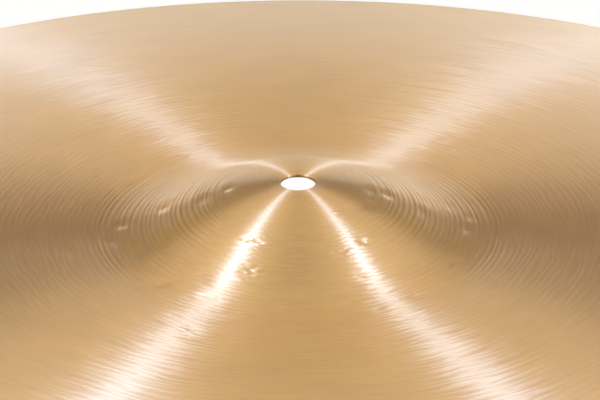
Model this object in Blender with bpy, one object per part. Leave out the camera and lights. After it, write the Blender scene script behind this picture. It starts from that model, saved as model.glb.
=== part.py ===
"""A 22 inch suspended cymbal: one sheet of bell bronze, pressed, hammered and turned on a lathe.

Metres, +Z up. The origin is the centre of the circle that the rim rests on, and the bell points up.
"""

import math

import bmesh
import bpy

# The upper face, read from the centre hole outwards.
HOLE_RADIUS = 0.006
SEAT_RADIUS = 0.009
SEAT_BLEND = 0.0166
CROWN_ARC = 0.085
FLANK_SLOPE = 0.455
FLARE_ARC = 0.0537
BELL_RADIUS = 0.0697
RIM_RADIUS = 0.2794
BOW_DROP = 0.03596

# The sheet keeps its full thickness under the felt seat and is turned thinner towards the rim.
THICKNESS_AT_SEAT = 0.0011
THICKNESS_AT_RIM = 0.00095

# Both edges are broken with a file after turning.
HOLE_EDGE_ROUND = 0.0003
RIM_EDGE_ROUND = 0.0003
EDGE_FACETS = 2

# How finely the turned surface is divided.
SEGMENTS = 96
BELL_FACET = 0.0042
BOW_FACET = 0.0162
UNDERSIDE_COARSER = 1.5

BRONZE_COLOUR = (0.60, 0.40, 0.19, 1.0)
BRONZE_ROUGHNESS = 0.30


def arc_radius(run, drop):
    """Radius of the arc that starts level and falls by drop over run."""
    return (run * run + drop * drop) / (2.0 * drop)


# The crown is part of a sphere round the axis. A short blend joins it to the level seat, a straight
# flank leaves it, and the flare turns the flank level again, where the bow begins.
STEEPEST = min(FLANK_SLOPE, math.asin(min(1.0, BELL_RADIUS / (CROWN_ARC + FLARE_ARC))))
CROWN_START = SEAT_RADIUS / (1.0 - SEAT_BLEND / CROWN_ARC)
CROWN_END = CROWN_ARC * math.sin(STEEPEST)
FLARE_START = BELL_RADIUS - FLARE_ARC * math.sin(STEEPEST)
BOW_ARC = arc_radius(RIM_RADIUS - BELL_RADIUS, BOW_DROP)

CROWN_START_ANGLE = math.asin(CROWN_START / CROWN_ARC)
DROP_TO_CROWN = SEAT_BLEND * (1.0 - math.cos(CROWN_START_ANGLE))
DROP_TO_FLANK = DROP_TO_CROWN + CROWN_ARC * (math.cos(CROWN_START_ANGLE) - math.cos(STEEPEST))
DROP_TO_FLARE = DROP_TO_FLANK + (FLARE_START - CROWN_END) * math.tan(STEEPEST)
BELL_HEIGHT = DROP_TO_FLARE + FLARE_ARC * (1.0 - math.cos(STEEPEST))


def upper_face(radius):
    """How far the upper face lies below the seat, and its slope angle, at a distance from the axis."""
    if radius <= SEAT_RADIUS:
        return 0.0, 0.0
    if radius <= CROWN_START:
        angle = math.asin((radius - SEAT_RADIUS) / SEAT_BLEND)
        return SEAT_BLEND * (1.0 - math.cos(angle)), angle
    if radius <= CROWN_END:
        angle = math.asin(radius / CROWN_ARC)
        return DROP_TO_CROWN + CROWN_ARC * (math.cos(CROWN_START_ANGLE) - math.cos(angle)), angle
    if radius <= FLARE_START:
        return DROP_TO_FLANK + (radius - CROWN_END) * math.tan(STEEPEST), STEEPEST
    if radius <= BELL_RADIUS:
        angle = math.asin((BELL_RADIUS - radius) / FLARE_ARC)
        return BELL_HEIGHT - FLARE_ARC * (1.0 - math.cos(angle)), angle
    angle = math.asin((radius - BELL_RADIUS) / BOW_ARC)
    return BELL_HEIGHT + BOW_ARC * (1.0 - math.cos(angle)), angle


def lower_face(radius):
    """How far the lower face lies below the seat: the upper face plus the tapering thickness."""
    drop, angle = upper_face(radius)
    share = max(0.0, (radius - SEAT_RADIUS) / (RIM_RADIUS - SEAT_RADIUS))
    thickness = THICKNESS_AT_SEAT + (THICKNESS_AT_RIM - THICKNESS_AT_SEAT) * share
    return drop + thickness / math.cos(angle)


def stations(coarser=1.0):
    """Distances from the axis at which a face of the section gets a point, from the hole to the rim."""
    stretches = (
        (HOLE_RADIUS, SEAT_RADIUS, BELL_FACET),
        (SEAT_RADIUS, CROWN_START, BELL_FACET),
        (CROWN_START, CROWN_END, BELL_FACET),
        (CROWN_END, FLARE_START, BELL_FACET),
        (FLARE_START, BELL_RADIUS, BELL_FACET),
        (BELL_RADIUS, RIM_RADIUS, BOW_FACET),
    )
    radii = [HOLE_RADIUS]
    for start, end, facet in stretches:
        if end - start < 1e-6:
            continue
        count = max(1, round((end - start) / (facet * coarser)))
        radii += [start + (end - start) * step / count for step in range(1, count + 1)]
    return radii


def section(bm):
    """The cut through the sheet as one flat face in the XZ plane, with its two edges rounded."""
    top = [bm.verts.new((radius, 0.0, -upper_face(radius)[0])) for radius in stations()]
    bottom = [
        bm.verts.new((radius, 0.0, -lower_face(radius)))
        for radius in reversed(stations(UNDERSIDE_COARSER))
    ]
    bm.faces.new(top + bottom)
    for corners, size in (
        ((top[0], bottom[-1]), HOLE_EDGE_ROUND),
        ((top[-1], bottom[0]), RIM_EDGE_ROUND),
    ):
        bmesh.ops.bevel(
            bm,
            geom=list(corners),
            offset=size,
            offset_type="OFFSET",
            segments=EDGE_FACETS,
            profile=0.5,
            affect="VERTICES",
        )


def turned_sheet():
    """The section swept once round the axis, and set down on its rim."""
    bm = bmesh.new()
    section(bm)
    bmesh.ops.delete(bm, geom=list(bm.faces), context="FACES_ONLY")
    bmesh.ops.spin(
        bm,
        geom=list(bm.verts) + list(bm.edges),
        cent=(0.0, 0.0, 0.0),
        axis=(0.0, 0.0, 1.0),
        angle=math.tau,
        steps=SEGMENTS,
        use_merge=True,
    )
    bmesh.ops.recalc_face_normals(bm, faces=list(bm.faces))
    lowest = min(vertex.co.z for vertex in bm.verts)
    bmesh.ops.translate(bm, verts=list(bm.verts), vec=(0.0, 0.0, -lowest))
    mesh = bpy.data.meshes.new("cymbal")
    bm.to_mesh(mesh)
    bm.free()
    return mesh


def bronze():
    """Turned bell bronze."""
    material = bpy.data.materials.new("bell_bronze")
    material.use_nodes = True
    shader = material.node_tree.nodes["Principled BSDF"]
    shader.inputs["Base Color"].default_value = BRONZE_COLOUR
    shader.inputs["Metallic"].default_value = 1.0
    shader.inputs["Roughness"].default_value = BRONZE_ROUGHNESS
    return material


def build():
    for leftover in list(bpy.data.objects):
        bpy.data.objects.remove(leftover, do_unlink=True)
    mesh = turned_sheet()
    mesh.materials.append(bronze())
    mesh.shade_smooth()
    mesh.set_sharp_from_angle(angle=math.radians(30.0))
    cymbal = bpy.data.objects.new("cymbal", mesh)
    bpy.context.scene.collection.objects.link(cymbal)


build()
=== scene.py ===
# %% [markdown]
# # A suspended cymbal, from the packed frame to the finished bronze
#
# A cymbal is one sheet of bell bronze. It is pressed to form the bell, hammered by hand until it is bowed,
# and turned on a lathe, which leaves hundreds of round grooves. There is nothing else on it, so everything
# that makes it look real is in the curve of the sheet and in how those grooves catch the light.
#
# This notebook loads the measured part, spins a finer sheet in its place, hammers it, gives it a bronze
# that shines across its grooves, and sets the lights that draw the four streaks.

import math
import random

import bpy
import numpy as np
from mathutils import Matrix, Vector, noise


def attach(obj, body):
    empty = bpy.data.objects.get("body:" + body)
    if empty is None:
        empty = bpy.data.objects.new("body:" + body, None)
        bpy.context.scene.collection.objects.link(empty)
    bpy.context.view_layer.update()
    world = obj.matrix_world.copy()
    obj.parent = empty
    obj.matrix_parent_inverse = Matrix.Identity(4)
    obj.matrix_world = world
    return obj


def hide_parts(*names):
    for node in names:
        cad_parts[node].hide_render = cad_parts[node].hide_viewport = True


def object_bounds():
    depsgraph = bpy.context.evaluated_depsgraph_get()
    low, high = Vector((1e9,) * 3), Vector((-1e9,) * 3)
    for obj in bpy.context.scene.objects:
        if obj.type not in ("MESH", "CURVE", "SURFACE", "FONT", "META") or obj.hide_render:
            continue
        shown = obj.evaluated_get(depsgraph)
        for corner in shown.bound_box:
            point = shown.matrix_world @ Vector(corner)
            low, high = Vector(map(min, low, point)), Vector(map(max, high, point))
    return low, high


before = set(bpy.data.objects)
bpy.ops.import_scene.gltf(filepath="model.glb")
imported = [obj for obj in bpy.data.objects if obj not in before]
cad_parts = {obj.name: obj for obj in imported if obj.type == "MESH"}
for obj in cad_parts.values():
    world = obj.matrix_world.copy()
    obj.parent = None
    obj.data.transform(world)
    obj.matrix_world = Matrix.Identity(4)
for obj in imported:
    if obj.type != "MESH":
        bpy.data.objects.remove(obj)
cad_low, cad_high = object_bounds()
print("nodes:", sorted(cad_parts), "height:", round(cad_high.z, 5))

# %% [markdown]
# ## The sizes of the sheet
#
# The rim and the height come from the frame, so the finished sheet fits the measured part exactly. The rest
# are the sizes a cymbal smith works to: the hole, the level seat for the felts, the bell, and the
# thickness, which falls a little from the seat to the rim because the lathe takes more off the bow than off
# the bell.

# %% Driving sizes, in metres
RIM_RADIUS = cad_high.x
HEIGHT = cad_high.z
HOLE_RADIUS = 0.006
SEAT_RADIUS = 0.009
SEAT_BLEND = 0.0166
CROWN_ARC = 0.085
FLANK_SLOPE = 0.455
FLARE_ARC = 0.0537
BELL_RADIUS = 0.0697
BOW_DROP = 0.03596
THICKNESS_AT_SEAT = 0.0011
THICKNESS_AT_RIM = 0.00093
EDGE_ROUND = 0.0003
print("rim:", round(RIM_RADIUS, 4), "height:", round(HEIGHT, 5), "bell:", BELL_RADIUS)

# %% [markdown]
# ## The section
#
# Seen in section the upper face is six pieces that run into each other without a corner: the level seat, a
# short blend, the crown, a straight flank, the flare that turns the flank level again, and the bow. Except
# for the straight ones each piece is an arc, so its height is one line of school geometry. The crown is
# part of a sphere, which is what a press leaves.

# %% Where the pieces of the section meet
CROWN_START = SEAT_RADIUS / (1.0 - SEAT_BLEND / CROWN_ARC)
CROWN_END = CROWN_ARC * math.sin(FLANK_SLOPE)
FLARE_START = BELL_RADIUS - FLARE_ARC * math.sin(FLANK_SLOPE)
BOW_RUN = RIM_RADIUS - BELL_RADIUS
BOW_ARC = (BOW_RUN * BOW_RUN + BOW_DROP * BOW_DROP) / (2.0 * BOW_DROP)

START_ANGLE = math.asin(CROWN_START / CROWN_ARC)
DROP_TO_CROWN = SEAT_BLEND * (1.0 - math.cos(START_ANGLE))
DROP_TO_FLANK = DROP_TO_CROWN + CROWN_ARC * (math.cos(START_ANGLE) - math.cos(FLANK_SLOPE))
DROP_TO_FLARE = DROP_TO_FLANK + (FLARE_START - CROWN_END) * math.tan(FLANK_SLOPE)
BELL_HEIGHT = DROP_TO_FLARE + FLARE_ARC * (1.0 - math.cos(FLANK_SLOPE))
print("bell height:", round(BELL_HEIGHT, 5), "bow arc:", round(BOW_ARC, 4))

# %% [markdown]
# ## Two faces from one section
#
# A press shapes the whole sheet at once, so the underside follows the upper face. It is set below it by the
# thickness, measured square to the sheet. On a slope that makes the straight drop a little longer, which is
# what dividing by the cosine does.


# %% Height of the upper and the lower face
def upper_face(radius):
    """Height of the upper face and its slope angle, at a distance from the axis."""
    if radius <= SEAT_RADIUS:
        return HEIGHT, 0.0
    if radius <= CROWN_START:
        angle = math.asin((radius - SEAT_RADIUS) / SEAT_BLEND)
        return HEIGHT - SEAT_BLEND * (1.0 - math.cos(angle)), angle
    if radius <= CROWN_END:
        angle = math.asin(radius / CROWN_ARC)
        return HEIGHT - DROP_TO_CROWN - CROWN_ARC * (math.cos(START_ANGLE) - math.cos(angle)), angle
    if radius <= FLARE_START:
        return HEIGHT - DROP_TO_FLANK - (radius - CROWN_END) * math.tan(FLANK_SLOPE), FLANK_SLOPE
    if radius <= BELL_RADIUS:
        angle = math.asin((BELL_RADIUS - radius) / FLARE_ARC)
        return HEIGHT - BELL_HEIGHT + FLARE_ARC * (1.0 - math.cos(angle)), angle
    angle = math.asin((radius - BELL_RADIUS) / BOW_ARC)
    return HEIGHT - BELL_HEIGHT - BOW_ARC * (1.0 - math.cos(angle)), angle


def lower_face(radius):
    """Height of the lower face: the upper face less the tapering thickness."""
    height, angle = upper_face(radius)
    share = max(0.0, (radius - SEAT_RADIUS) / (RIM_RADIUS - SEAT_RADIUS))
    thickness = THICKNESS_AT_SEAT + (THICKNESS_AT_RIM - THICKNESS_AT_SEAT) * share
    return height - thickness / math.cos(angle)


print("underside at the rim:", round(lower_face(RIM_RADIUS), 6))

# %% [markdown]
# ## The outline as a chain of points
#
# The outline goes out along the upper face, round the rim, back along the underside and up through the
# hole. Its points lie closest on the bell, where the widest grooves will be cut. Each edge is broken with a
# file on the real sheet, which is one soft corner here.

# %% Stations along the faces
SEGMENTS = 280
BELL_STEP = 0.00035
BOW_STEP = 0.0022
UNDERSIDE_STEP = 0.0080
FINE_PAST_BELL = 0.012
CORNER_POINTS = 4


def stations(start, end, step):
    """Evenly spaced distances from the axis, start left out and end kept."""
    count = max(1, round(abs(end - start) / step))
    return [start + (end - start) * index / count for index in range(1, count + 1)]


def corner(before, tip, after):
    """The points of a soft corner: it leaves before, aims at tip and ends at after."""
    points = []
    for index in range(CORNER_POINTS + 1):
        share = index / CORNER_POINTS
        back = 1.0 - share
        points.append(before * back * back + tip * 2.0 * back * share + after * share * share)
    return points


def on_top(radius):
    return Vector((radius, 0.0, upper_face(radius)[0]))


def underneath(radius):
    return Vector((radius, 0.0, lower_face(radius)))


def outline():
    """Every point of the section, from the top of the hole round the sheet to the bottom of the hole."""
    inner = HOLE_RADIUS + EDGE_ROUND
    outer = RIM_RADIUS - EDGE_ROUND
    lift = Vector((0.0, 0.0, EDGE_ROUND))
    hole_top, hole_bottom = on_top(HOLE_RADIUS), underneath(HOLE_RADIUS)
    rim_top, rim_bottom = on_top(RIM_RADIUS), underneath(RIM_RADIUS)
    points = corner(hole_top - lift, hole_top, on_top(inner))
    for start, end, step in (
        (inner, SEAT_RADIUS, BOW_STEP),
        (SEAT_RADIUS, BELL_RADIUS + FINE_PAST_BELL, BELL_STEP),
        (BELL_RADIUS + FINE_PAST_BELL, outer, BOW_STEP),
    ):
        points += [on_top(radius) for radius in stations(start, end, step)]
    points += corner(points.pop(), rim_top, rim_top - lift)
    points += corner(rim_bottom + lift, rim_bottom, underneath(outer))
    points += [underneath(radius) for radius in stations(outer, inner, UNDERSIDE_STEP)]
    points += corner(points.pop(), hole_bottom, hole_bottom + lift)
    return points


section = outline()
print("points in the section:", len(section), "lowest:", min(point.z for point in section))

# %% [markdown]
# ## Spinning the sheet
#
# A lathe job is modelled as it is made: draw half of the section, then turn it about the axis. The section
# starts as one corner of a plane and grows by extruding that corner from point to point. Spin then sweeps
# it round, and merging the doubles welds the last step to the first.


# %% Draw the section and spin it
def deselect_all():
    if bpy.context.mode != "OBJECT":
        bpy.ops.object.mode_set(mode="OBJECT")
    bpy.ops.object.select_all(action="DESELECT")


def spun_sheet(name, points):
    """A closed body turned about the Z axis from a chain of points in the XZ plane."""
    deselect_all()
    bpy.ops.mesh.primitive_plane_add(size=HOLE_RADIUS, location=points[0])
    sheet = bpy.context.active_object
    sheet.name = sheet.data.name = name
    bpy.ops.object.transform_apply(location=True, rotation=True, scale=True)
    bpy.ops.object.mode_set(mode="EDIT")
    bpy.ops.mesh.select_all(action="SELECT")
    bpy.ops.mesh.merge(type="CENTER")
    for start, end in zip(points, points[1:] + points[:1]):
        bpy.ops.mesh.extrude_vertices_move(TRANSFORM_OT_translate={"value": end - start})
    bpy.ops.mesh.select_all(action="SELECT")
    bpy.ops.mesh.spin(steps=SEGMENTS, angle=math.tau, center=(0.0, 0.0, 0.0), axis=(0.0, 0.0, 1.0))
    bpy.ops.mesh.select_all(action="SELECT")
    bpy.ops.mesh.remove_doubles(threshold=1e-6)
    bpy.ops.mesh.normals_make_consistent(inside=False)
    bpy.ops.object.mode_set(mode="OBJECT")
    return sheet


sheet = spun_sheet("turned_sheet", section)
print("faces:", len(sheet.data.polygons))

# %% [markdown]
# ## The grooves
#
# The lathe tool is pushed by hand, so no two grooves are alike: some are deep and wide, and most are fine.
# The widest ones lie on the flank of the bell, about two millimetres apart and a little closer together
# towards the crown. A wave of slowly growing pitch and a smooth random curve give that comb. In the
# photograph the grooves show strongly at the left and the right of the bell and hardly in front, so they
# are cut deeper at the sides.
#
# The depths are written as weights into a vertex group of the upper face, and a Displace modifier pushes
# the face down by them. They are cut into the geometry because the light changes so fast on the flank that
# each groove shows as a line of its own.

# %% Groove sizes
GROOVES_ON_BELL = 55.0
GROOVE_CROWDING = 0.6
GROOVE_DEPTH_BELL = 0.000280
GROOVE_DEPTH_BOW = 0.000010
GROOVES_FROM = 0.016
GROOVE_SHARE_IN_FRONT = 0.12
GROOVE_WANDER = 3.5
WANDERS_PER_METRE = 160.0
FINE_GROOVES_PER_METRE = 1050.0
CUT_LEVEL = 0.45
COMB_SHARE = 0.5
GROOVES_DEEPEN = (0.020, 0.034)
GROOVES_FADE = (0.068, 0.080)
FRONT_BEGINS = (0.50, 0.88)
UPPER_FACE_WITHIN = 0.0002
RIM_LAND = 0.004


def smooth(start, end, value):
    """Eases from 0 at start to 1 at end, for one value or for a list of them."""
    share = np.clip((value - start) / (end - start), 0.0, 1.0)
    return share * share * (3.0 - 2.0 * share)


def cut(radius):
    """How deep the tool went in at a distance from the axis; 0 to 1."""
    wander = noise.noise(Vector((radius * WANDERS_PER_METRE, 0.3, 0.7)))
    count = GROOVES_ON_BELL * (radius / BELL_RADIUS) ** GROOVE_CROWDING
    comb = math.sin(math.tau * count + GROOVE_WANDER * wander)
    fine = noise.noise(Vector((radius * FINE_GROOVES_PER_METRE, 4.1, 2.2)))
    return min(1.0, max(0.0, CUT_LEVEL + CUT_LEVEL * (COMB_SHARE * comb + fine)))


def groove_weights(places):
    """The share of the full groove depth at every vertex of the upper face."""
    out = np.hypot(places[:, 0], places[:, 1])
    heights = np.array([upper_face(min(value, RIM_RADIUS))[0] for value in out])
    upper = heights - places[:, 2] < UPPER_FACE_WITHIN
    flank = smooth(*GROOVES_DEEPEN, out) * (1.0 - smooth(*GROOVES_FADE, out))
    in_front = smooth(*FRONT_BEGINS, np.abs(places[:, 1] / out))
    flank = flank * (1.0 - (1.0 - GROOVE_SHARE_IN_FRONT) * in_front)
    bow = GROOVE_DEPTH_BOW / GROOVE_DEPTH_BELL
    ends = smooth(SEAT_RADIUS, GROOVES_FROM, out) * (1.0 - smooth(RIM_RADIUS - RIM_LAND, RIM_RADIUS, out))
    return np.array([cut(value) for value in out]) * (bow + (1.0 - bow) * flank) * ends * upper


print("deepest groove:", GROOVE_DEPTH_BELL, "on the bow:", GROOVE_DEPTH_BOW)

# %% [markdown]
# ## Pushing the face down
#
# Three small helpers do the work here and again for the hammer. One reads the vertices, one writes weights
# into a vertex group, and one adds a Displace modifier that works only where the group says so and applies
# it.

# %% Cut the grooves
LEAST_WEIGHT = 0.002


def places_of(sheet):
    places = np.empty(len(sheet.data.vertices) * 3)
    sheet.data.vertices.foreach_get("co", places)
    return places.reshape(-1, 3)


def weigh(sheet, name, weights):
    """A vertex group with a weight for every vertex that has one."""
    group = sheet.vertex_groups.new(name=name)
    for index in np.flatnonzero(weights > LEAST_WEIGHT):
        group.add([int(index)], float(weights[index]), "REPLACE")


def displace(sheet, group, strength, texture=None):
    deselect_all()
    sheet.select_set(True)
    bpy.context.view_layer.objects.active = sheet
    bpy.ops.object.modifier_add(type="DISPLACE")
    modifier = sheet.modifiers[-1]
    modifier.texture = texture
    modifier.texture_coords = "LOCAL"
    modifier.direction = "Z"
    modifier.mid_level = 0.5 if texture else 0.0
    modifier.strength = strength
    modifier.vertex_group = group
    bpy.ops.object.modifier_apply(modifier=modifier.name)


weights = groove_weights(places_of(sheet))
weigh(sheet, "grooved", weights)
displace(sheet, "grooved", -GROOVE_DEPTH_BELL)
print("vertices in a groove:", int((weights > LEAST_WEIGHT).sum()))

# %% [markdown]
# ## The hammer
#
# Hammering raises the bow, and it leaves the surface gently uneven: waves as wide as a thumb and about a
# tenth of a millimetre deep. They bend the streaks of light, which is how a hand-hammered cymbal is told
# from a machined one. A Displace modifier with a cloud texture moves both faces together, as a hammer does.
# A vertex group holds the seat and the rim still.
#
# Some blows land on the hammer's edge and leave a short scar. Each scar here is a soft pit, written as a
# weight into a second vertex group, and a second Displace pushes the surface down by that weight. The
# plainest scars are placed one by one, beside the near streaks and on the shoulders of the bell, and the
# rest fall where chance puts them. In front a scar also gets a slant, positive on one side of it and
# negative on the other. It is kept as an attribute, and the bronze's bump turns it into short ticks of
# light.

# %% Hammer waves and scars
WAVE_LENGTH = 0.030
WAVE_DEPTH = 0.00022
SCAR_DEPTH = 0.00028
SCAR_COUNT = 40
SCAR_ALONG = (0.0017, 0.0025)
SCAR_ACROSS = (0.0012, 0.0019)
SCAR_PLACES = (0.022, 0.115, 0.050)
PLAIN_STRENGTH = (0.8, 1.0)
FAINT_STRENGTH = (0.2, 0.7)
SHALLOWER_IN_FRONT = 0.45
HAMMER_STARTS = (0.014, 0.030)
HAMMER_ENDS = (RIM_RADIUS - 0.020, RIM_RADIUS - RIM_LAND)
MOVED = 1e-7
PLAIN_SCARS = (
    (308.0, 0.0365),
    (291.0, 0.0385),
    (296.0, 0.0490),
    (288.0, 0.0595),
    (308.0, 0.0640),
    (314.0, 0.0225),
    (244.0, 0.0345),
    (250.0, 0.0460),
    (241.0, 0.0600),
    (244.0, 0.0815),
    (222.0, 0.0620),
    (200.0, 0.0600),
    (178.0, 0.0610),
    (172.0, 0.0470),
    (176.0, 0.0240),
    (181.0, 0.0330),
    (124.0, 0.0700),
    (1.0, 0.0250),
    (2.0, 0.0310),
    (338.0, 0.0265),
    (358.0, 0.0430),
    (357.0, 0.0580),
)
rng = random.Random(22)


def scars(places):
    """The depth of the scars, 0 to 1, and a slant that runs across each of them."""
    depth = np.zeros(len(places))
    slant = np.zeros(len(places))
    spots = [(math.radians(turn), out, rng.uniform(*PLAIN_STRENGTH)) for turn, out in PLAIN_SCARS]
    for _ in range(SCAR_COUNT):
        turn = rng.uniform(0.0, math.tau)
        out = rng.triangular(*SCAR_PLACES)
        spots.append((turn, out, rng.uniform(*FAINT_STRENGTH)))
    for turn, out, strength in spots:
        along = rng.uniform(*SCAR_ALONG)
        across = rng.uniform(*SCAR_ACROSS)
        dx = places[:, 0] - out * math.cos(turn)
        dy = places[:, 1] - out * math.sin(turn)
        radial = dx * math.cos(turn) + dy * math.sin(turn)
        round_it = dy * math.cos(turn) - dx * math.sin(turn)
        pit = strength * np.exp(-0.5 * ((radial / across) ** 2 + (round_it / along) ** 2))
        in_front = math.sin(turn) ** 2
        depth = np.maximum(depth, pit * (1.0 - SHALLOWER_IN_FRONT * in_front))
        slant += pit * round_it / along * in_front
    return depth, slant


places = places_of(sheet)
out = np.hypot(places[:, 0], places[:, 1])
weigh(sheet, "hammered", smooth(*HAMMER_STARTS, out) * (1.0 - smooth(*HAMMER_ENDS, out)))
scarred, slanted = scars(places)
weigh(sheet, "scarred", scarred)
sheet.data.attributes.new("slant", "FLOAT", "POINT").data.foreach_set("value", slanted)
clouds = bpy.data.textures.new("hammer_waves", "CLOUDS")
clouds.noise_scale = WAVE_LENGTH
clouds.noise_depth = 2
displace(sheet, "hammered", WAVE_DEPTH, clouds)
displace(sheet, "scarred", -SCAR_DEPTH)
print("vertices moved:", int((np.abs(places_of(sheet) - places).max(axis=1) > MOVED).sum()))

# %% [markdown]
# ## A map that runs with the grooves
#
# The bronze has to know which way the grooves run at every point. A UV map says it: U goes once round the
# sheet and V goes out from the axis. Where a face lies across the seam its corners are kept together, so no
# face shows a backwards jump.

# %% The map round the sheet
SMOOTH_UNDER = math.radians(35.0)


def map_round(sheet):
    """U follows the grooves round the sheet and V runs out from the axis."""
    mesh = sheet.data
    places = places_of(sheet)
    corners = np.empty(len(mesh.loops), int)
    mesh.loops.foreach_get("vertex_index", corners)
    turn = np.arctan2(places[corners, 1], places[corners, 0]) / math.tau
    starts = np.empty(len(mesh.polygons), int)
    mesh.polygons.foreach_get("loop_start", starts)
    counts = np.empty(len(mesh.polygons), int)
    mesh.polygons.foreach_get("loop_total", counts)
    first = np.repeat(turn[starts], counts)
    turn += np.round(first - turn)
    out = np.hypot(places[corners, 0], places[corners, 1]) / RIM_RADIUS
    uv = mesh.uv_layers.new(name="round_the_sheet")
    uv.data.foreach_set("uv", np.stack([turn, out], axis=-1).ravel())


map_round(sheet)
deselect_all()
sheet.select_set(True)
bpy.context.view_layer.objects.active = sheet
bpy.ops.object.shade_smooth_by_angle(angle=SMOOTH_UNDER)
print("maps:", [layer.name for layer in sheet.data.uv_layers])

# %% [markdown]
# ## The bronze
#
# Turned bronze is bright across its grooves and dull along them, so a small lamp is drawn out into a
# streak. The Principled shader does that with its anisotropic setting, once it knows the direction from the
# map. Part of the surface is set as a clear, colourless shine over the metal, because lacquered bronze
# glints white while its body stays golden.
#
# The metal gets paler and a little smoother from the bell to the rim, as it looks in the photograph. The
# rest is unevenness: small changes of tone, faint blotches, and grooves whose direction and depth keep
# changing a little. Those changes give the streaks their comb-like edges.
#
# Each noise below is three numbers: changes per metre across the grooves, changes round the sheet, and a
# seed. Blender's noise seldom strays more than a quarter from one half, which is its reach here.

# %% Sizes of the finish
BRONZE_COLOUR = (0.84, 0.485, 0.165)
METAL_SHARE = 0.80
ROUGHNESS = 0.40
ROUGHNESS_AT_RIM = 0.36
ROUGHNESS_SPREAD = 0.03
CLEAR_IOR = 2.2
CLEAR_LEVEL = 0.8
TONE_SPREAD = 0.045
BLOTCH_SPREAD = 0.030
BLOTCHES_PER_METRE = 55.0
PALE_BOW_COLOUR = (0.905, 0.57, 0.245)
PALE_FROM = 0.090
PALE_TO = 0.200
DIRECTION_SPREAD = 0.034
BUMP_DEPTH = 0.00004
CHATTER_DEPTH = 7.5
RIDGE_HEIGHT = 0.25
RIDGE_HEIGHT_ON_BOW = 0.50
RIDGE_TURN = 0.026
RIDGE_WANDER = 4.0
TURN_GROWS = (0.010, 0.040)
RIDGES_GROW = (0.060, 0.095)
TONE_NOISE = (900.0, 7.0, 3.0)
ROUGHNESS_NOISE = (600.0, 4.0, 11.0)
DIRECTION_NOISE = (280.0, 8.0, 23.0)
FINE_NOISE = (800.0, 9.0, 41.0)
CHATTER_NOISE = (620.0, 6.0, 57.0)
RIDGE_NOISE = (200.0, 4.0, 71.0)
NOISE_REACH = 0.25
STRETCH = 1.0
QUARTER_TURN = 0.25
print("roughness:", ROUGHNESS, "at the rim:", ROUGHNESS_AT_RIM)

# %% [markdown]
# ## Short names for the nodes
#
# A node tree is easier to read as sums than as boxes and wires. This class has one short method for each
# kind of node that comes up often. Its round_noise is the important one: it stretches a noise round the
# sheet, so it changes fast from groove to groove and slowly along each groove, and it has no seam.


# %% Noise that runs round the sheet
class Graph:
    """Short names for the kinds of node that the bronze, the room and the floor share."""

    def __init__(self, material):
        self.nodes = material.node_tree.nodes
        self.links = material.node_tree.links

    def feed(self, socket, value):
        if isinstance(value, bpy.types.NodeSocket):
            self.links.new(value, socket)
        else:
            socket.default_value = value

    def math(self, operation, first, second=0.0, third=0.0):
        node = self.nodes.new("ShaderNodeMath")
        node.operation = operation
        for socket, value in zip(node.inputs, (first, second, third)):
            self.feed(socket, value)
        return node.outputs[0]

    def vector(self, x, y, z):
        node = self.nodes.new("ShaderNodeCombineXYZ")
        for socket, value in zip(node.inputs, (x, y, z)):
            self.feed(socket, value)
        return node.outputs[0]

    def noise(self, place, detail=2.0, roughness=0.5):
        node = self.nodes.new("ShaderNodeTexNoise")
        node.inputs["Scale"].default_value = 1.0
        node.inputs["Detail"].default_value = detail
        node.inputs["Roughness"].default_value = roughness
        self.feed(node.inputs["Vector"], place)
        return node.outputs["Fac"]

    def place_on_sheet(self):
        """The distance from the axis, and the direction from it as two numbers."""
        split = self.nodes.new("ShaderNodeSeparateXYZ")
        coordinates = self.nodes.new("ShaderNodeTexCoord")
        self.links.new(coordinates.outputs["Object"], split.inputs[0])
        x, y = split.outputs[0], split.outputs[1]
        out = self.math("SQRT", self.math("ADD", self.math("MULTIPLY", x, x), self.math("MULTIPLY", y, y)))
        return out, self.math("DIVIDE", x, out), self.math("DIVIDE", y, out)

    def round_noise(self, spot, across, along, seed, detail=2.0, roughness=0.5):
        """Noise with across changes per metre of radius and few changes along a groove; 0 to 1."""
        out, east, north = spot
        return self.noise(
            self.vector(
                self.math("MULTIPLY_ADD", out, across, seed),
                self.math("MULTIPLY_ADD", east, along, seed * 1.7),
                self.math("MULTIPLY_ADD", north, along, seed * 2.3),
            ),
            detail,
            roughness,
        )

    def spread(self, value, middle, width):
        """Moves noise round 0.5 to noise round middle, about width to each side."""
        return self.math("MULTIPLY_ADD", self.math("SUBTRACT", value, 0.5), width / NOISE_REACH, middle)

    def ease(self, start, end, value):
        """Eases from 0 at start to 1 at end."""
        node = self.nodes.new("ShaderNodeMapRange")
        node.interpolation_type = "SMOOTHSTEP"
        node.inputs["From Min"].default_value = start
        node.inputs["From Max"].default_value = end
        self.feed(node.inputs["Value"], value)
        return node.outputs["Result"]

    def ridges(self, spot):
        """Round ridges as far apart as the grooves, with a wander of their own; -1 to 1."""
        wander = self.spread(self.round_noise(spot, *RIDGE_NOISE), 0.0, RIDGE_WANDER)
        share = self.math("POWER", self.math("DIVIDE", spot[0], BELL_RADIUS), GROOVE_CROWDING)
        return self.math("SINE", self.math("MULTIPLY_ADD", share, GROOVES_ON_BELL * math.tau, wander))


print("node helpers:", [name for name in vars(Graph) if not name.startswith("_")])

# %% [markdown]
# ## Putting the bronze together
#
# The noise feeds four sockets: the colour, the roughness, the tangent and the normal. The direction of the
# grooves is turned by a degree or two about the surface's normal, which moves each groove's glint a little
# to one side of its neighbour's. The bump adds the ridges between the grooves, a fine grain and the ticks
# of the scars. Each socket has a short function of its own, and the last one joins them.


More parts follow.
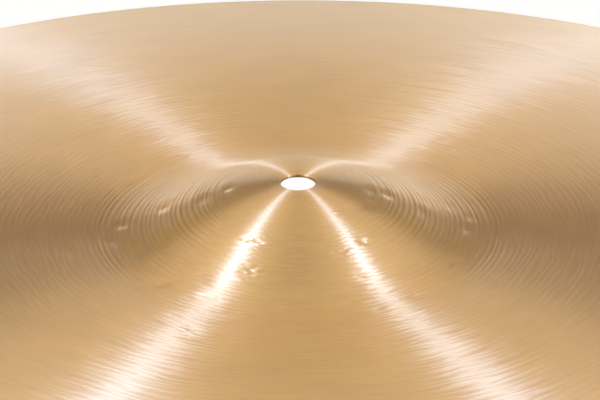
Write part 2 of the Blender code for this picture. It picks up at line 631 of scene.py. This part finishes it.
# %% Bronze
def bronze_colour(graph, spot, on_the_bow):
    """Golden at the bell and paler on the bow, with a grain along the grooves and faint blotches."""
    tone = graph.spread(graph.round_noise(spot, *TONE_NOISE, detail=3.0), 1.0, TONE_SPREAD)
    place = graph.nodes.new("ShaderNodeVectorMath")
    place.operation = "SCALE"
    place.inputs["Scale"].default_value = BLOTCHES_PER_METRE
    graph.feed(place.inputs[0], graph.nodes.new("ShaderNodeTexCoord").outputs["Object"])
    tone = graph.math("MULTIPLY", tone, graph.spread(graph.noise(place.outputs[0]), 1.0, BLOTCH_SPREAD))
    pale = graph.nodes.new("ShaderNodeMix")
    pale.data_type = "RGBA"
    pale.inputs["A"].default_value = (*BRONZE_COLOUR, 1.0)
    pale.inputs["B"].default_value = (*PALE_BOW_COLOUR, 1.0)
    graph.feed(pale.inputs["Factor"], on_the_bow)
    colour = graph.nodes.new("ShaderNodeVectorMath")
    colour.operation = "SCALE"
    graph.feed(colour.inputs[0], pale.outputs["Result"])
    graph.feed(colour.inputs["Scale"], tone)
    return colour.outputs[0]


def groove_direction(graph, spot, ridges):
    """The map's direction, turned a little about the normal from groove to groove."""
    tangent = graph.nodes.new("ShaderNodeTangent")
    tangent.direction_type = "UV_MAP"
    tangent.uv_map = "round_the_sheet"
    geometry = graph.nodes.new("ShaderNodeNewGeometry")
    turn = graph.nodes.new("ShaderNodeVectorRotate")
    turn.rotation_type = "AXIS_ANGLE"
    graph.feed(turn.inputs["Vector"], tangent.outputs["Tangent"])
    graph.feed(turn.inputs["Axis"], geometry.outputs["Normal"])
    waver = graph.round_noise(spot, *DIRECTION_NOISE, detail=4.0, roughness=0.7)
    waver = graph.spread(waver, 0.0, DIRECTION_SPREAD)
    angle = graph.math("MULTIPLY_ADD", ridges, RIDGE_TURN, waver)
    graph.feed(turn.inputs["Angle"], graph.math("MULTIPLY", angle, graph.ease(*TURN_GROWS, spot[0])))
    return turn.outputs[0]


def groove_bump(graph, spot, ridges):
    """The small relief: fine grain, ridges that grow on the bow, and ticks where a scar slants."""
    bump = graph.nodes.new("ShaderNodeBump")
    bump.inputs["Distance"].default_value = BUMP_DEPTH
    slant = graph.nodes.new("ShaderNodeAttribute")
    slant.attribute_name = "slant"
    chatter = graph.spread(graph.round_noise(spot, *CHATTER_NOISE, detail=1.0), 0.0, CHATTER_DEPTH)
    fine = graph.round_noise(spot, *FINE_NOISE, detail=3.0, roughness=0.6)
    on_the_bow = graph.ease(*RIDGES_GROW, spot[0])
    height = graph.math("MULTIPLY_ADD", on_the_bow, RIDGE_HEIGHT_ON_BOW - RIDGE_HEIGHT, RIDGE_HEIGHT)
    fine = graph.math("MULTIPLY_ADD", ridges, height, fine)
    graph.feed(bump.inputs["Height"], graph.math("MULTIPLY_ADD", slant.outputs["Fac"], chatter, fine))
    return bump.outputs[0]


def bronze():
    """The finished metal: one shader with its four uneven sockets and its even ones."""
    material = bpy.data.materials.new("turned_bronze")
    material.use_nodes = True
    graph = Graph(material)
    shader = graph.nodes["Principled BSDF"]
    spot = graph.place_on_sheet()
    on_the_bow = graph.ease(PALE_FROM, PALE_TO, spot[0])
    ridges = graph.ridges(spot)
    rough = graph.round_noise(spot, *ROUGHNESS_NOISE, detail=2.0)
    rough = graph.spread(rough, ROUGHNESS, ROUGHNESS_SPREAD)
    rough = graph.math("MULTIPLY_ADD", on_the_bow, ROUGHNESS_AT_RIM - ROUGHNESS, rough)
    graph.feed(shader.inputs["Base Color"], bronze_colour(graph, spot, on_the_bow))
    graph.feed(shader.inputs["Roughness"], rough)
    graph.feed(shader.inputs["Tangent"], groove_direction(graph, spot, ridges))
    graph.feed(shader.inputs["Normal"], groove_bump(graph, spot, ridges))
    shader.inputs["Metallic"].default_value = METAL_SHARE
    shader.inputs["IOR"].default_value = CLEAR_IOR
    shader.inputs["Specular IOR Level"].default_value = CLEAR_LEVEL
    shader.inputs["Anisotropic"].default_value = STRETCH
    shader.inputs["Anisotropic Rotation"].default_value = QUARTER_TURN
    return material


sheet.data.materials.clear()
sheet.data.materials.append(bronze())
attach(sheet, "root")
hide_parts("cymbal")
print("material:", sheet.data.materials[0].name)

# %% [markdown]
# ## Two soft boxes
#
# Each lamp gives one near streak and one far streak, where the grooves lie square to the line between the
# lamp and the camera. Their places were worked out from the four streaks in the photograph: one stands
# close on the left and one further away on the right.
#
# A camera rolls the streaks of a golden metal off to nearly white, and the plain view used here doesn't. So
# the lamps are made strongly blue, which the gold turns back to a warm white. The price is that the streaks
# can look faintly violet from other sides. Light linking keeps that blue off the floor: the lamps light only
# the collection that holds the sheet.

# %% Lights
LEFT_LAMP = (-0.438, 0.042, 0.801)
RIGHT_LAMP = (0.901, -0.418, 0.799)
LEFT_POWER = 4.3
RIGHT_POWER = 14.6
LEFT_SIZE = 0.08
RIGHT_SIZE = 0.14
LAMP_COLOUR = (0.17, 0.34, 1.0)


def soft_box(name, place, size, power):
    """A round soft box at a place measured from the centre hole, turned to face it."""
    light = bpy.data.lights.new(name, "AREA")
    light.shape = "DISK"
    light.size = size
    light.energy = power
    light.color = LAMP_COLOUR
    lamp = bpy.data.objects.new(name, light)
    bpy.context.scene.collection.objects.link(lamp)
    lamp.location = Vector(place) + Vector((0.0, 0.0, HEIGHT))
    lamp.rotation_mode = "QUATERNION"
    lamp.rotation_quaternion = (-Vector(place)).to_track_quat("-Z", "Y")
    return lamp


lit = bpy.data.collections.new("lit_by_the_soft_boxes")
lit.objects.link(sheet)
for lamp in (
    soft_box("left_soft_box", LEFT_LAMP, LEFT_SIZE, LEFT_POWER),
    soft_box("right_soft_box", RIGHT_LAMP, RIGHT_SIZE, RIGHT_POWER),
):
    lamp.light_linking.receiver_collection = lit
print("lamps:", LEFT_POWER, RIGHT_POWER)

# %% [markdown]
# ## The room
#
# Away from the streaks the bronze shows the room. The world is one even level plus a few soft round patches
# that stand for parts of a studio: a bright wall behind the cymbal, gaps beside it and above it, a dim
# ceiling, the dark place where the camera stands and a pale corner at each side of it. A patch below zero
# takes light away. Their strengths began as a fit to the tones of the photograph and were then evened out
# from left to right and rounded.
#
# The patches are tinted, which real walls aren't, for the same reason as the lamps: the bright wall is blue
# so that it comes back pale from the golden metal. Each part is listed with the directions it lies in, how
# high it is, how far out it is full and where it has faded away, all in degrees.

# %% Parts of the room
ROOM_COLOUR = (1.18, 1.16, 1.0)
BRIGHT_WALL = (0.4, 1.4, 3.2)
WALL_WINDOWS = (1.5, 1.75, 1.9)
WALL_SIDES = (0.5, 0.65, 0.8)
GAPS_BESIDE = (-0.55, -0.5, -0.4)
SMALL_GAPS = (-0.3, -0.35, -0.3)
DARK_ABOVE = (-0.9, -1.1, -1.5)
DARK_ABOVE_SIDES = (-0.9, -0.9, -0.9)
CEILING_SIDES = (-0.4, -0.35, -0.1)
CEILING_IN_FRONT = (-0.5, -0.4, -0.35)
AROUND_CAMERA = (-0.75, -0.9, -0.75)
LEFT_CORNER = (0.95, 0.9, 0.55)
RIGHT_CORNER = (0.6, 0.5, 0.15)
ROOM_PARTS = (
    ((90.0,), 2.0, 4.0, 20.0, BRIGHT_WALL),
    ((76.0, 104.0), 3.0, 2.0, 10.0, WALL_WINDOWS),
    ((60.0, 120.0), 2.0, 4.0, 20.0, WALL_SIDES),
    ((62.0, 118.0), 9.0, 2.0, 12.0, SMALL_GAPS),
    ((30.0, 150.0), 4.0, 4.0, 24.0, GAPS_BESIDE),
    ((90.0,), 24.0, 6.0, 22.0, DARK_ABOVE),
    ((60.0, 120.0), 22.0, 6.0, 24.0, DARK_ABOVE_SIDES),
    ((10.0, 170.0), 50.0, 10.0, 45.0, CEILING_SIDES),
    ((270.0,), 65.0, 10.0, 45.0, CEILING_IN_FRONT),
    ((270.0,), 25.0, 10.0, 50.0, AROUND_CAMERA),
    ((220.0,), 15.0, 10.0, 45.0, LEFT_CORNER),
    ((320.0,), 15.0, 10.0, 45.0, RIGHT_CORNER),
)
print("room level:", ROOM_COLOUR, "parts:", len(ROOM_PARTS))

# %% [markdown]
# ## Lighting the world
#
# A soft round patch is a dot product and a ramp. The dot product of two directions is the cosine of the
# angle between them, so it is one in the middle of the patch and falls away from it, and the ramp turns
# that into a share from nothing to all. The patches are added one after another to the even level, and what
# falls below zero is cut off at the end.


# %% World
def direction(azimuth, elevation):
    """The direction that lies azimuth degrees round from +X and elevation degrees up."""
    turn, up = math.radians(azimuth), math.radians(elevation)
    return (math.cos(up) * math.cos(turn), math.cos(up) * math.sin(turn), math.sin(up))


def patch(graph, place, before, azimuth, elevation, inner, outer, change):
    """Adds change within inner degrees of a direction and fades it out at outer degrees."""
    dot = graph.nodes.new("ShaderNodeVectorMath")
    dot.operation = "DOT_PRODUCT"
    graph.feed(dot.inputs[0], place)
    dot.inputs[1].default_value = direction(azimuth, elevation)
    ramp = graph.nodes.new("ShaderNodeMapRange")
    ramp.interpolation_type = "SMOOTHSTEP"
    ramp.inputs["From Min"].default_value = math.cos(math.radians(outer))
    ramp.inputs["From Max"].default_value = math.cos(math.radians(inner))
    graph.feed(ramp.inputs["Value"], dot.outputs["Value"])
    add = graph.nodes.new("ShaderNodeVectorMath")
    add.operation = "MULTIPLY_ADD"
    graph.feed(add.inputs[0], ramp.outputs["Result"])
    add.inputs[1].default_value = change
    graph.feed(add.inputs[2], before)
    return add.outputs[0]


def room():
    world = bpy.data.worlds.new("room")
    bpy.context.scene.world = world
    world.use_nodes = True
    graph = Graph(world)
    place = graph.nodes.new("ShaderNodeTexCoord").outputs["Generated"]
    level = ROOM_COLOUR
    for azimuths, up, inner, outer, change in ROOM_PARTS:
        for azimuth in azimuths:
            level = patch(graph, place, level, azimuth, up, inner, outer, change)
    clamped = graph.nodes.new("ShaderNodeVectorMath")
    clamped.operation = "MAXIMUM"
    graph.feed(clamped.inputs[0], level)
    level = clamped.outputs[0]
    path = graph.nodes.new("ShaderNodeLightPath")
    mix = graph.nodes.new("ShaderNodeMix")
    mix.data_type = "RGBA"
    graph.feed(mix.inputs["Factor"], path.outputs["Is Camera Ray"])
    graph.feed(mix.inputs["A"], level)
    mix.inputs["B"].default_value = (1.0, 1.0, 1.0, 1.0)
    graph.feed(graph.nodes["Background"].inputs["Color"], mix.outputs["Result"])


room()
print("world:", bpy.context.scene.world.name)

# %% [markdown]
# ## The floor
#
# The cymbal stands on a plain pale floor. A little white is added to what the camera sees of it, so it
# reads as the white page behind the object and still keeps the object's shadow. Right under the hole it is
# all white, as in the photograph. The bronze sees plain white beside the cymbal and the dim floor beneath
# it, which is why the far wall of the hole is dark.

# %% Floor
FLOOR_COLOUR = (0.93, 0.935, 0.985, 1.0)
FLOOR_LIFT = 0.255
FLOOR_ROUGHNESS = 0.9
FLOOR_SHINE = 0.1
FLOOR_SIDE = 8.0
WHITE_UNDER_HOLE = 0.20


def pale_floor():
    material = bpy.data.materials.new("pale_floor")
    material.use_nodes = True
    graph = Graph(material)
    shader = graph.nodes["Principled BSDF"]
    shader.inputs["Base Color"].default_value = FLOOR_COLOUR
    shader.inputs["Roughness"].default_value = FLOOR_ROUGHNESS
    shader.inputs["Specular IOR Level"].default_value = FLOOR_SHINE
    path = graph.nodes.new("ShaderNodeLightPath")
    camera_ray, glossy_ray = path.outputs["Is Camera Ray"], path.outputs["Is Glossy Ray"]
    graph.feed(shader.inputs["Emission Strength"], graph.math("MULTIPLY", camera_ray, FLOOR_LIFT))
    shader.inputs["Emission Color"].default_value = (1.0, 1.0, 1.0, 1.0)
    white = graph.nodes.new("ShaderNodeEmission")
    place = graph.nodes.new("ShaderNodeTexCoord")
    out = graph.nodes.new("ShaderNodeVectorMath")
    out.operation = "LENGTH"
    graph.feed(out.inputs[0], place.outputs["Object"])
    under = graph.math("LESS_THAN", out.outputs["Value"], WHITE_UNDER_HOLE)
    beside = graph.math("GREATER_THAN", out.outputs["Value"], RIM_RADIUS)
    mix = graph.nodes.new("ShaderNodeMixShader")
    all_white = graph.math("MULTIPLY_ADD", glossy_ray, beside, graph.math("MULTIPLY", camera_ray, under))
    graph.feed(mix.inputs["Fac"], all_white)
    graph.feed(mix.inputs[1], shader.outputs["BSDF"])
    graph.feed(mix.inputs[2], white.outputs["Emission"])
    graph.feed(graph.nodes["Material Output"].inputs["Surface"], mix.outputs["Shader"])
    return material


deselect_all()
bpy.ops.mesh.primitive_plane_add(size=FLOOR_SIDE, location=(0.0, 0.0, 0.0))
floor = bpy.context.active_object
floor.name = "floor"
floor.data.materials.append(pale_floor())
print("floor:", tuple(round(side, 3) for side in floor.dimensions))

# %% [markdown]
# ## The camera
#
# The picture is a close view: a long lens looks down at the bell from a little over a metre away, so the
# rim runs out of the frame on both sides and in front. The angle, the distance and the focal length were
# solved together from the curve of the far rim, the ellipse of the hole and the run of the streaks.

# %% Camera
CAMERA_DISTANCE = 1.385
CAMERA_ELEVATION = math.radians(26.21)
CAMERA_ROLL = math.radians(-0.15)
FOCAL_PIXELS = 4022.0
PICTURE_WIDTH = 600
PICTURE_HEIGHT = 400
HOLE_PIXEL = (298.10, 182.35)
SENSOR_WIDTH = 36.0
NEAREST = 0.05
FURTHEST = 50.0

target = Vector((0.0, 0.0, HEIGHT))
back = Vector((0.0, -math.cos(CAMERA_ELEVATION), math.sin(CAMERA_ELEVATION)))
camera_data = bpy.data.cameras.new("camera")
camera_data.sensor_width = SENSOR_WIDTH
camera_data.lens = FOCAL_PIXELS / PICTURE_WIDTH * SENSOR_WIDTH
camera_data.clip_start = NEAREST
camera_data.clip_end = FURTHEST
camera = bpy.data.objects.new("camera", camera_data)
bpy.context.scene.collection.objects.link(camera)
across = math.atan((HOLE_PIXEL[0] - PICTURE_WIDTH / 2) / FOCAL_PIXELS)
upwards = math.atan((PICTURE_HEIGHT / 2 - HOLE_PIXEL[1]) / FOCAL_PIXELS)
aim = (-back).to_track_quat("-Z", "Y").to_matrix()
aim = aim @ Matrix.Rotation(across, 3, "Y") @ Matrix.Rotation(-upwards, 3, "X")
aim = aim @ Matrix.Rotation(CAMERA_ROLL, 3, "Z")
camera.matrix_world = Matrix.Translation(target + back * CAMERA_DISTANCE) @ aim.to_4x4()
bpy.context.scene.camera = camera
bpy.context.scene.view_settings.view_transform = "Standard"
print("camera at:", tuple(round(value, 3) for value in camera.location))

# %% [markdown]
# The visual sheet has to stay inside the box of the measured part.
